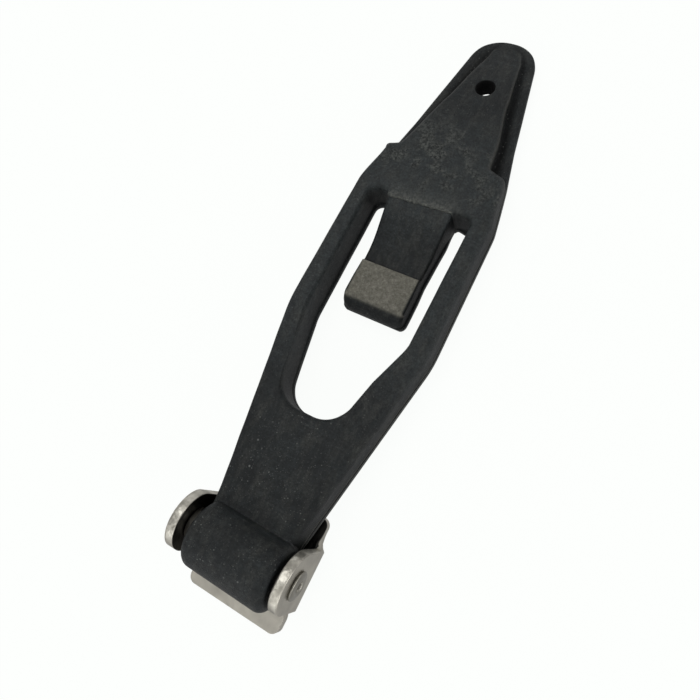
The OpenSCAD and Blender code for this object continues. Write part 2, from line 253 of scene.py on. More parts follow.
def strap_skin():
    """The moulding's outer surface as one closed tube round the window.
    Parameter u runs round five matched plan lines: the window's edge and the top's edge beside it, the top's
    outer edge and the foot of the body's outer wall, and the foot or flange outline. Parameter v runs round
    the section: up the window's wall over its low ledge, over an elliptical edge, straight across the top,
    over the outer edge, down the wall to the foot, out along the foot or flange, round its edge to the
    parting line, under, and back below to the window."""
    lines = ((WINDOW_LINE, WINDOW_KEYS), (WINDOW_TOP_LINE, WINDOW_TOP_KEYS), (TOP_LINE, TOP_KEYS),
             (BODY_LINE, BODY_KEYS), (FOOT_LINE, FOOT_KEYS))
    found = [[whole(a) for a in spaced(rounded(line), keys, COUNTS)] for line, keys in lines]
    (window, window_n), (crest_in, _), (crest_out, _), (body, body_n), (foot, foot_n) = found
    for plan in (window, crest_in):
        plan[:, 1] += 0.75 * (1 - smooth(plan[:, 1], 28, 36))
    window, crest_in = askew(window, WALL_LEFT, WALL_RIGHT), askew(crest_in, CREST_LEFT, CREST_RIGHT)
    body = askew(body, PANEL_LEFT, EVEN)
    crest_out = askew(crest_out, [(y - 1.3, x) for y, x in PANEL_LEFT], EVEN)
    # the left top edge is crisper than the right one
    crisp = smooth(-body[:, 0], 6, 8) * (1 - smooth(body[:, 1], 80, 88))
    crest_out = crest_out + (body - crest_out) * 0.55 * crisp[:, None]
    stops = np.cumsum([0] + COUNTS)
    index = np.arange(stops[-1] + 1)

    def by_key(values):
        """One value a station, from a value at each key."""
        return whole(np.interp(index, stops, values))

    in_h = by_key([1.5, 1.5, 1.5, 1.5, 1.5, 1.4, 0.7, 0.25, 0.25, 0.25])
    ledge = by_key([0.1, 0.1, 0.2, 0.35, 0.4, 0.6, 0.0, 0.0, 0.0, 0.0])
    out_h = by_key([0.8, 2.0, 2.6, 2.6, 2.6, 2.5, 1.8, 1.1, 0.3, 0.05])
    out_h = out_h * (1 - 0.5 * crisp)
    foot_z = by_key([5.6, 5.6, 5.6, 5.6, 5.6, 6.3, 7.2, 7.2, 7.2, 7.15])
    part_z = by_key([4.6, 4.6, 4.6, 4.6, 4.6, 4.9, 5.7, 5.9, 6.0, 6.0])
    # how strongly the wall's foot and the flange's edge get a pale line, partly flash and partly painted
    # highlight
    edge_flash_and_highlight = by_key([1, 1, 1, 1, 1, 1, 1, 1, 0.25, 0])
    at_step = by_key([0, 0, 0, 0, 0, 0, 0.15, 1, 1, 1])
    on_tab = by_key([0, 0, 0, 0, 0, 0, 0.25, 1, 0.8, 0])
    # the torn-looking line where the bridge steps down to the tongue, and slight unevenness elsewhere
    jag = ripple(window[:, 0] * 2.2, window[:, 0] * 0 + 3, 5) * 0.2 * at_step + 0.045 * window[:, 0] * at_step
    jag = (jag + ripple(window[:, 0] * 0.2, window[:, 1] * 0.2, 6) * 0.04)[:, None]
    window, crest_in = window + window_n * jag, crest_in + window_n * jag
    sway = (ripple(body[:, 0] * 0.3, body[:, 1] * 0.3, 8) * 0.05)[:, None]
    body, crest_out = body + body_n * sway, crest_out + body_n * sway
    top_b, top_f = top_height(body[:, 1]), top_height(foot[:, 1])
    foot_z_out = np.minimum(foot_z, top_f)
    foot_z = np.minimum(foot_z, top_b)
    under_f = under_height(foot[:, 0], foot[:, 1])
    under_w = under_height(window[:, 0], window[:, 1])
    rows, marks = [], {"step": [], "flash_and_highlight": [], "channel": []}

    def row(plan, z, step=0.0, flash_and_highlight=0.0, channel=0.0):
        """Adds one closed line of points round the window, with its attributes."""
        rows.append(np.concatenate([plan, np.broadcast_to(z, len(plan))[:, None]], 1))
        for key, value in (("step", step), ("flash_and_highlight", flash_and_highlight), ("channel", channel)):
            marks[key].append(np.broadcast_to(value, len(plan)).copy())

    def off(base, normal, distance):
        """base moved along its normals."""
        return base + normal * np.broadcast_to(distance, len(base))[:, None]

    # window wall, from its lower edge upwards
    for t in np.linspace(0, 1, 4):
        a = t * math.pi / 2
        row(off(window, window_n, 0.5 - (0.5 + ledge) * math.sin(a)), under_w + 0.7 * (1 - math.cos(a)))
    for share, z in ((-1, 4.0), (-1, 4.42), (-0.8, 4.56), (-0.25, 4.66), (0, 4.74)):
        row(off(window, window_n, ledge * share), z)
    top_w = top_height(window[:, 1])
    for t in (0.1, 0.35, 0.7):
        row(window, 4.74 + (top_w - in_h - 4.74) * t, step=at_step * 0.5)
    for a in np.linspace(0, math.pi / 2, 10):
        row(window + (crest_in - window) * (1 - math.cos(a)), top_w - in_h * (1 - math.sin(a)), step=at_step)
    # top, by straight rulings
    for t in 0.5 - 0.5 * np.cos(np.linspace(0, math.pi, 36)[1:-1]):
        plan = crest_in + (crest_out - crest_in) * t
        away = np.linalg.norm(plan - window, axis=1)
        fade = np.exp(-np.maximum(away - 0.2, 0) / 1.3)
        row(plan, top_height(plan[:, 1]), step=at_step * fade)
    # outer edge and wall: the edge's height keeps to the top's own height over each point; on the tab the
    # rounding is painted paler towards the wall, as highlight
    out_h = np.minimum(out_h, np.maximum(top_b - foot_z, 0.0) * 0.6)
    for a in np.linspace(0, math.pi / 2, 10):
        plan = crest_out + (body - crest_out) * 0.94 * math.sin(a)
        row(plan, top_height(plan[:, 1]) - out_h * (1 - math.cos(a)),
            flash_and_highlight=0.35 * on_tab * math.sin(a) ** 2)
    edge_z = rows[-1][:, 2]
    # the wall's foot gets a pale line, partly flash and partly painted highlight
    for t in (0.4, 0.8, 1.0):
        row(crest_out + (body - crest_out) * (0.94 + 0.06 * t), edge_z + (foot_z + 0.03 - edge_z) * t,
            flash_and_highlight=(t == 1.0) * 0.7 * (1 - on_tab) * edge_flash_and_highlight, channel=on_tab * (t > 0.5))
    # foot or flange; beside the tab's panel its channel is marked for painted shade, and its outer edge for a
    # pale line that is partly flash and partly painted highlight
    gap = np.linalg.norm(foot - body, axis=1)
    edge = np.minimum(0.6, 0.4 * gap)
    inside = off(foot, foot_n, -edge)
    for t in (0.0, 0.12, 0.3, 0.5, 0.75, 1.0):
        hollow = 0.35 * on_tab * smooth(gap, 0.5, 2.0) * math.exp(-((t - 0.25) / 0.22) ** 2)
        row(body + (inside - body) * t, foot_z + (foot_z_out - foot_z) * t - hollow,
            flash_and_highlight=float(t < 0.05) * 0.8 * edge_flash_and_highlight * (1 - on_tab),
            channel=on_tab * math.exp(-((t - 0.2) / 0.35) ** 2))
    for a in np.linspace(0, math.pi / 2, 5)[1:]:
        row(off(foot, foot_n, -edge * (1 - math.sin(a))), foot_z_out - edge * (1 - math.cos(a)))
    for z in (0.12, -0.05):
        row(off(foot, foot_n, 0.03), part_z + z, flash_and_highlight=0.4)
    tuck = np.minimum(1.0, 0.8 * (part_z - under_f))
    for a in np.linspace(0, math.pi / 2, 7):
        row(off(foot, foot_n, -tuck * (1 - math.cos(a))),
            part_z - 0.1 - (part_z - 0.1 - under_f) * math.sin(a))
    # underside, back to the window
    start, stop = off(foot, foot_n, -tuck), off(window, window_n, 0.5)
    for t in np.linspace(0, 1, 34)[1:-1]:
        plan = start + (stop - start) * t
        row(plan, under_height(plan[:, 0], plan[:, 1]))
    grid = np.stack(rows, 0)
    return solid("strap_skin", [(grid, True, True)], tilt=True,
                 attributes={k: [np.stack(v, 0)] for k, v in marks.items()})


def panel_fall(y):
    """How far the panel's top at y lies above its height at the hole's centre."""
    return -PANEL_SLOPE * (y - HOLE_Y)


def level(y):
    """A flat upper face."""
    return 0 * y


def drilled(name, x, y, radius, upper, lower, height, tilt, neck=0.0):
    """A cutter for a round hole: a tube of radius R(h) about a vertical line, which opens out by a small
    round where it leaves the upper and the lower face. height(y) moves the upper face with its slope, and
    neck makes the lower end narrower."""
    h = np.array([3, 0.3, 0.0, -0.08, -0.2, -0.4])
    r = np.array([1.1, 0.6, 0.32, 0.17, 0.06, 0.0]) + radius
    a = np.linspace(0, 2 * math.pi, 64, endpoint=False)
    px, py = x + r[:, None] * np.cos(a), y + r[:, None] * np.sin(a)
    top = np.stack([px, py, upper + height(py) + h[:, None]], -1)
    narrow = (r[:, None] - radius) * 0.3 + radius - neck
    bottom = np.stack([x + narrow * np.cos(a), y + narrow * np.sin(a),
                       np.broadcast_to(lower - h[:, None] * 0.7, px.shape)], -1)[::-1]
    tube = np.concatenate([top, bottom])
    patches = [(tube, False, True)]
    for k in (0, -1):
        middle = np.broadcast_to([x, y, tube[k, :, 2].mean()], tube[k].shape)
        patches.append((np.stack([tube[k], middle]), False, True))
    return solid(name, patches, tilt=tilt)


def applied(obj):
    """Works obj's modifiers into its mesh."""
    with bpy.context.temp_override(object=obj, active_object=obj, selected_objects=[obj]):
        for m in list(obj.modifiers):
            bpy.ops.object.modifier_apply(modifier=m.name)


def cut(obj, cutter):
    """Takes the cutter's volume out of obj, for good."""
    m = obj.modifiers.new("cut", "BOOLEAN")
    m.operation, m.solver, m.object = "DIFFERENCE", "EXACT", cutter
    applied(obj)
    bpy.data.objects.remove(cutter)
    obj.data.polygons.foreach_set("use_smooth", np.ones(len(obj.data.polygons), bool))


def knuckle_skin():
    """The knuckle: a circle of radius R whose centre lies a little ahead of the pivot, with a small fillet
    that runs out on the web's top, carried along X. The soft knuckle sits slightly askew, so its section
    moves in Y by SKEW times x. The ends are rounded, and flat caps lead into the bore."""
    radius, fillet, ahead, edge, bore, skew = 6.88, 0.25, 0.68, 1.9, 3.36, -0.012
    left_end, right_end = -9.0, 10.4
    web = STRAP_TOP - PIVOT_Z
    cz = web + fillet
    cy = math.sqrt((radius + fillet) ** 2 - cz ** 2)
    a1, a2 = math.atan2(web, cy), math.atan2(cz, cy)
    a = np.concatenate([np.linspace(a1, a2, 12), np.linspace(a2, a1 + 2 * math.pi, 160)[1:-1]])
    along = cy * np.cos(a) + cz * np.sin(a)
    tail = along - np.sqrt(np.maximum(fillet ** 2 - (cy ** 2 + cz ** 2 - along ** 2), 0))
    r = np.where(a <= a2, tail, radius)
    r = r + (tail[0] - radius) * smooth(a, a1 + 2 * math.pi - 0.12, a1 + 2 * math.pi) * (a > 6)
    b = np.linspace(0, math.pi / 2, 10)
    rise = edge * (1 - np.cos(b))
    x = np.concatenate([np.full(4, left_end), (left_end + edge - edge * np.sin(b))[::-1],
                        np.linspace(left_end + edge, right_end - edge, 26)[1:-1],
                        right_end - edge + edge * np.sin(b), np.full(4, right_end)])
    drop = np.concatenate([np.full(4, edge), rise[::-1], np.zeros(24), rise, np.full(4, edge)])
    cap = np.array([1.0, 0.93, 0.65, 0.3])
    to_bore = np.concatenate([cap, np.zeros(len(x) - 8), cap[::-1]])[:, None]
    outer = r[None, :] - drop[:, None]
    size = outer + (bore - outer) * to_bore
    y = size * np.cos(a) + (skew * x[:, None] - ahead) * (1 - to_bore)
    skin = np.stack([np.broadcast_to(x[:, None], size.shape), y, PIVOT_Z + size * np.sin(a)], -1)
    inner_x = np.linspace(right_end, left_end, 8)[1:-1, None]
    lining = np.stack(np.broadcast_arrays(inner_x, bore * np.cos(a), PIVOT_Z + bore * np.sin(a)), -1)
    return solid("knuckle_skin", [(np.concatenate([skin, lining]), True, True)], tilt=True)


def tongue_skin():
    """The hooking tongue: closed cross-sections carried along Y. Each has the top height T(y), the half
    width W(y), a rounded upper edge of radius E(y), a low side ledge at z = 4.8 and a rounded lower edge; all
    heights are held between the underside and T, so the sections close almost to a line at the nose, where
    a fan ends them."""
    nose = 53.0 + 2.8 * (1 - np.cos(np.linspace(0, math.pi / 2, 34)))
    y = np.concatenate([nose, np.linspace(56.0, 63.2, 30), [63.4, 63.5, 63.56, 63.66, 63.78, 63.86, 64.0],
                        np.linspace(64.3, 79.8, 46)])
    top = np.interp(y, [53.0, 53.03, 53.12, 53.35, 53.8, 54.4, 55.0, 55.35, 55.7, 56.2],
                    [4.45, 4.9, 5.4, 6.0, 6.75, 7.5, 8.08, 8.32, 8.45, 8.5])
    web = table(y, [(60, 7.8), (67.6, 7.8), (71.0, 8.7), (77.4, 11.3), (80, 11.42)], 1.6)
    top = np.where(y > 63.52, web + (8.5 - web) * (1 - smooth(y, 63.5, 63.86)), top)
    under = np.interp(y, [53.0, 53.03, 53.15, 53.5, 54.0, 54.6], [4.35, 3.9, 3.5, 3.1, 2.95, 2.9])
    corner = 1.6
    wide = np.interp(y, [53, 56.5, 60, 63.5, 70, 76, 80], [7.1, 7.1, 7.05, 6.85, 7.05, 7.3, 7.35])
    wide = wide - corner + np.sqrt(np.maximum(corner ** 2 - np.maximum(53.0 + corner - y, 0) ** 2, 0))
    out = 0.42 * (1 - smooth(y, 73, 77))
    e = np.interp(y, [53, 54.4, 56, 63.3, 64.5, 80], [1.2, 0.9, 0.45, 0.45, 0.7, 0.6])
    s = np.sin(np.linspace(0, math.pi / 2, 7))[None, :]
    c = np.cos(np.linspace(0, math.pi / 2, 7))[None, :]

    def col(v):
        """One value a section, as a column."""
        return np.asarray(v, float)[:, None]

    across = np.linspace(0, 1, 20)[None, :-1]
    one = np.ones((len(y), 1))
    x = np.concatenate([
        col(wide - e) * across, col(wide - e) + col(e) * s,
        col(wide + 0.05) * np.ones((1, 4)), col(wide) + col(out) * np.array([[0.15, 0.7, 0.95, 1.0]]),
        col(wide + out) * np.ones((1, 2)), col(wide + out - 0.9) + 0.9 * c[:, 1:],
        col(wide + out - 0.9) * across[:, ::-1]], 1)
    z = np.concatenate([
        col(top) * np.ones_like(across), col(top - e) + col(e) * c,
        col(top - e) + (4.9 - col(top - e)) * np.array([[0.25, 0.5, 0.8, 1.0]]),
        4.8 * one * np.ones((1, 4)) + np.array([[0.02, 0.0, -0.05, -0.2]]),
        one * np.array([[4.3, 3.9]]), 3.8 - 0.9 * s[:, 1:] * one, 2.9 * one * np.ones_like(across)], 1)
    z = np.clip(z, col(under), col(top))
    z = z + 0.05 * ripple(x * 0.4, col(y) * 0.5, 11) * smooth(z, 7, 7.6)
    half = np.stack([x, col(y) * np.ones_like(x), z], -1)
    grid = np.concatenate([half, half[:, 1:-1][:, ::-1] * np.array([-1, 1, 1])], 1)
    grid[..., 0] -= 0.15 * (1 - smooth(grid[..., 1], 72, 79))
    pad = smooth(grid[..., 1], 54.3, 55.7) * (1 - smooth(grid[..., 1], 63.5, 63.64))
    pad = pad * smooth(grid[..., 2], 7.4, 8.3)
    pad = pad * (1 - smooth(np.abs(grid[..., 0] + 0.15), 6.45, 6.85))
    # painted highlight: pale lines along the pad's rear step and its front edge, stronger towards the corners
    pad_edge_highlight = np.exp(-((grid[..., 1] - 63.45) / 0.16) ** 2) * (grid[..., 2] > 7.7) * (np.abs(grid[..., 0]) < 6.5)
    corner_highlight_weight = 0.45 + 0.55 * smooth(np.abs(grid[..., 0]), 4.2, 6.2)
    front_edge = np.exp(-((grid[..., 1] - 55.3) / 0.3) ** 2) * (grid[..., 2] > 7.7)
    pad_edge_highlight = np.maximum(pad_edge_highlight, corner_highlight_weight * front_edge)
    spine = np.broadcast_to([[0, 79.8, 7.0]], (grid.shape[1], 3))
    end = np.stack([grid[-1], spine])
    tip = np.stack([np.broadcast_to([[0, nose[0], 4.4]], (grid.shape[1], 3)), grid[0]])
    blank = np.zeros(end.shape[:2])
    patches = [(grid, False, True), (end, False, True), (tip, False, True)]
    return solid("tongue_skin", patches, tilt=True, weld=2e-6,
                 attributes={"worn": [pad, blank, blank], "flash_and_highlight": [pad_edge_highlight, blank, blank]})


# ---------------------------------------------------------------- steel parts

def lathe(name, profile, weld=1e-7):
    """A profile (x, radius) turned about the pivot axis. It starts and ends on the axis, or closes on
    itself."""
    p = np.array(profile, float)
    a = np.linspace(0, 2 * math.pi, 96, endpoint=False)
    grid = np.stack(np.broadcast_arrays(p[:, :1], p[:, 1:] * np.cos(a), PIVOT_Z + p[:, 1:] * np.sin(a)), -1)
    closed = p[0, 1] > 0
    return solid(name, [(grid, closed, True)], weld=weld)


def round_corner(x, r, rx, start, stop, n=8):
    """Profile points of a rounded edge about the centre (x, r) with radius rx, between two angles in
    degrees."""
    t = np.radians(np.linspace(start, stop, n))
    return [(x + rx * math.cos(k), r + rx * math.sin(k)) for k in t]


def pivot_rivet():
    """A semi-tubular rivet: a domed factory head, the shank, and a rolled head round its drilled end."""
    out = 13.1
    profile = [(-out - 1.4 * (1 - t ** 2.4) - 0.001, 4.25 * t) for t in np.linspace(0, 1, 12)]
    profile += round_corner(-out - 0.2, 4.2, 0.2, 100, 0, 5)
    profile += [(-out, 4.1), (-out, 2.56), (-out, 2.5), (out, 2.5)]
    profile += [(out, 2.55), (out, 2.7)] + round_corner(out + 0.32, 2.64, 0.34, -60, 85, 10)
    profile += [(out + 0.76, 2.4), (out + 0.88, 2.0), (out + 0.88, 1.65), (out + 0.78, 1.32),
                (out + 0.52, 1.1)]
    profile += [(out + 0.1, 1.0), (out - 0.9, 0.95), (out - 1.1, 0.55), (out - 1.2, 0.0)]
    return lathe("pivot_rivet_turned", profile)


def pivot_sleeve():
    """A turned tube with broken edges."""
    half, outer, bore = 11.0, 3.3, 2.55
    p = [(-half + 0.25, outer), (half - 0.25, outer), (half - 0.08, outer - 0.06), (half, outer - 0.2),
         (half, bore + 0.12), (half - 0.1, bore), (-half + 0.1, bore), (-half, bore + 0.12),
         (-half, outer - 0.2), (-half + 0.08, outer - 0.06)]
    return lathe("pivot_sleeve_turned", p)


def bracket_sheet():
    """The folded sheet. Its flat blank lies in s (across) and y: a plate with rounded corners, whose sides
    run into the two ears by fillets, and ears with round tops. Beyond the bend line the blank is wound on
    a circle of the sheet's middle radius, B: x = S + B sin t and z = 1 + B (1 - cos t), with
    t = (s - S) / B, and then stands straight up. Between the fillets and the plate's corners the bend fades
    out. The middle surface gets 2 mm of thickness, and its cut edges are rounded by tumbling."""
    bend_s, mid_r, ear_half, side_s, fillet = 9.9, 2.2, 6.1, 11.1, 1.4
    root = ear_half + fillet
    bend_end = bend_s + mid_r * math.pi / 2
    pivot_s = bend_end + PIVOT_Z - 1 - mid_r
    eta = np.linspace(-1, 1, 33)

    def folded(s, y):
        """The blank's points (s, y) after folding."""
        keep = np.maximum(1 - smooth(np.abs(y), ear_half - 0.1, root + 1.6), 1e-4)
        r = mid_r / keep
        t = np.clip(np.abs(s) - bend_s, 0, bend_end - bend_s) / r
        rest = np.maximum(np.abs(s) - bend_end, 0)
        x = np.minimum(np.abs(s), bend_s) + r * np.sin(t)
        return np.stack([np.sign(s) * x, y + 0 * s, 1 + r * (1 - np.cos(t)) + rest], -1)

    middle_s = np.concatenate([np.linspace(-side_s, -bend_s, 7)[:-1], np.linspace(-bend_s, bend_s, 33),
                               np.linspace(bend_s, side_s, 7)[1:]])
    patches = [(folded(middle_s[:, None], eta[None, :] * root), False, False)]
    arm_s = np.concatenate([side_s + fillet * (1 - np.cos(np.linspace(0, math.pi / 2, 9))), [12.9, bend_end]])
    arm_w = root - np.sqrt(np.maximum(fillet ** 2 - np.minimum(arm_s - side_s - fillet, 0) ** 2, 0))
    arm_w = np.where(arm_s >= side_s + fillet, ear_half, arm_w)
    for sign in (-1, 1):
        patches.append((folded(sign * arm_s[:, None], eta[None, :] * arm_w[:, None]), False, False))
        # ear: rings from the rivet hole out to its outline, met at the same angle about the pivot
        top = np.linspace(0, math.pi, 41)[1:-1]
        rim = np.concatenate([
            np.stack([np.full(33, bend_end), eta * ear_half], 1),
            np.stack([np.linspace(bend_end, pivot_s, 9)[1:], np.full(8, ear_half)], 1),
            np.stack([pivot_s + ear_half * np.sin(top), ear_half * np.cos(top)], 1),
            np.stack([np.linspace(pivot_s, bend_end, 9)[:-1], np.full(8, -ear_half)], 1)])
        spoke = rim - [pivot_s, 0]
        hole = spoke / np.linalg.norm(spoke, axis=1, keepdims=True) * 2.55
        ring = np.linspace(0, 1, 9)[:, None, None]
        ear = [pivot_s, 0] + hole[None] + (spoke - hole)[None] * ring
        patches.append((folded(sign * ear[..., 0], ear[..., 1]), False, True))
    for end, sign in ((12.5, -1), (11.8, 1)):
        edge = rounded([(side_s, root, 0), (side_s, end, 1.7), (9.0, end, 0)])
        run = np.stack([np.full(10, side_s), np.linspace(root, end - 1.7, 11)[:-1]], 1)
        edge = np.concatenate([run, edge[1:-1]])
        block = np.stack(np.broadcast_arrays(edge[:, :1] * middle_s[None, :] / side_s, sign * edge[:, 1:]),
                         -1)
        sheet = folded(block[..., 0], block[..., 1])
        sheet[..., 0] += 0.45 * smooth(np.abs(block[..., 1]), root, root + 1.6) * (sign < 0)
        patches.append((sheet, False, False))
    obj = solid("bracket_sheet", patches, weld=3e-5)
    wall = obj.modifiers.new("sheet", "SOLIDIFY")
    wall.thickness, wall.offset, wall.use_even_offset = 2.0 * MM, 0.0, True
    bevel = obj.modifiers.new("tumbled_edges", "BEVEL")
    bevel.width, bevel.segments, bevel.limit_method = 0.5 * MM, 4, "ANGLE"
    bevel.angle_limit = math.radians(50)
    applied(obj)
    # the underside is flat
    points = np.empty(len(obj.data.vertices) * 3, np.float32)
    obj.data.vertices.foreach_get("co", points)
    points[2::3] = np.maximum(points[2::3], 0)
    obj.data.vertices.foreach_set("co", points)
    for x in (-5.5, 5.5):
        cut(obj, drilled("screw_hole_cutter", x, SCREW_Y, SCREW_R, SHEET_MM, 0.0, level, False))
    return obj


# ---------------------------------------------------------------- materials

def linear(hex_colour):
    """sRGB hex to linear RGBA."""
    v = np.array([int(hex_colour[i:i + 2], 16) for i in (1, 3, 5)]) / 255
    v = np.where(v <= 0.04045, v / 12.92, ((v + 0.055) / 1.055) ** 2.4)
    return (*v.tolist(), 1.0)


def node(tree, kind, links=None, **settings):
    """Adds a shader node. Settings that name an input fill it, others set the node's own property;
    links maps an input to another node's output."""
    n = tree.nodes.new("ShaderNode" + kind)
    own = {k: v for k, v in settings.items() if hasattr(n, k)}
    for key, value in own.items():
        setattr(n, key, value)
    for key, value in settings.items():
        if key not in own:
            n.inputs[int(key[1:]) if key[1:].isdigit() else key.replace("_", " ")].default_value = value
    for key, output in (links or {}).items():
        tree.links.new(output, n.inputs[key])
    return n


def ramp(tree, value, stops):
    """A colour ramp over value, with stops (position, hex or grey)."""
    n = node(tree, "ValToRGB", {0: value})
    e = n.color_ramp.elements
    while len(e) < len(stops):
        e.new(0.5)
    for element, (position, colour) in zip(e, stops):
        element.position = position
        element.color = linear(colour) if isinstance(colour, str) else (colour, colour, colour, 1)
    return n.outputs[0]


def mixed(tree, factor, a, b, mode="MIX"):
    """Colour a blended towards b by factor."""
    n = node(tree, "Mix", data_type="RGBA", blend_type=mode, clamp_factor=True)
    for socket, value in ((n.inputs[0], factor), (n.inputs[6], a), (n.inputs[7], b)):
        if isinstance(value, bpy.types.NodeSocket):
            tree.links.new(value, socket)
        else:
            socket.default_value = value
    return n.outputs[2]


def grain(tree, size_mm, detail=2.0, stretch=None, rough=0.5, turn=(0, 0, 0)):
    """Noise over Object coordinates, with features about size_mm across. stretch lengthens them by axis."""
    place = node(tree, "TexCoord").outputs["Object"]
    m = node(tree, "Mapping", {"Vector": place})
    m.inputs["Rotation"].default_value = turn
    m.inputs["Scale"].default_value = [1 / (size_mm * MM * k) for k in (stretch or (1, 1, 1))]
    return node(tree, "TexNoise", {"Vector": m.outputs[0]}, Scale=1.0, Detail=detail,
                Roughness=rough).outputs[0]


def specks(tree, size_mm, share, soft=0.25):
    """Small bright spots: Voronoi cells of size_mm, of which a share holds a spot."""
    place = node(tree, "TexCoord").outputs["Object"]
    m = node(tree, "Mapping", {"Vector": place})
    m.inputs["Scale"].default_value = [1 / (size_mm * MM)] * 3
    v = node(tree, "TexVoronoi", {"Vector": m.outputs[0]}, Scale=1.0)
    dot = ramp(tree, v.outputs["Distance"], [(0.08, 1.0), (0.08 + soft, 0.0)])
    chosen = node(tree, "SeparateColor", {0: v.outputs["Color"]}).outputs[0]
    keep = node(tree, "Math", {0: chosen}, operation="LESS_THAN")
    keep.inputs[1].default_value = share
    return node(tree, "Math", {0: dot, 1: keep.outputs[0]}, operation="MULTIPLY").outputs[0]


def scaled(tree, value, factor, plus=0.0):
    """value * factor + plus."""
    n = node(tree, "Math", {0: value}, operation="MULTIPLY_ADD")
    n.inputs[1].default_value, n.inputs[2].default_value = factor, plus
    return n.outputs[0]


def bump(tree, height, mm, normal=None, strength=1.0):
    """A bump whose height signal of 1 stands mm proud."""
    n = node(tree, "Bump", {"Height": height}, Strength=strength, Distance=mm * MM)
    if normal is not None:
        tree.links.new(normal, n.inputs["Normal"])
    return n.outputs[0]


def times(tree, a, b):
    """The product of two outputs."""
    return node(tree, "Math", {0: a, 1: b}, operation="MULTIPLY").outputs[0]


def new_material(name):
    """An empty material, with its tree and its Principled shader."""
    m = bpy.data.materials.new(name)
    m.use_nodes = True
    tree = m.node_tree
    tree.nodes.clear()
    shader = node(tree, "BsdfPrincipled")
    node(tree, "OutputMaterial", {"Surface": shader.outputs[0]})
    return m, tree, shader


def attribute(tree, name):
    """A value that the mesh carries at each vertex."""
    return node(tree, "Attribute", attribute_name=name, attribute_type="GEOMETRY").outputs["Fac"]


def between(tree, value, low, high):
    """0 where value is at low and 1 where it is at high, with an S-curve between. high may be the smaller."""
    n = node(tree, "MapRange", {"Value": value}, interpolation_type="SMOOTHSTEP")
    for key, v in (("From Min", low), ("From Max", high), ("To Min", 0.0), ("To Max", 1.0)):
        n.inputs[key].default_value = v
    return n.outputs[0]


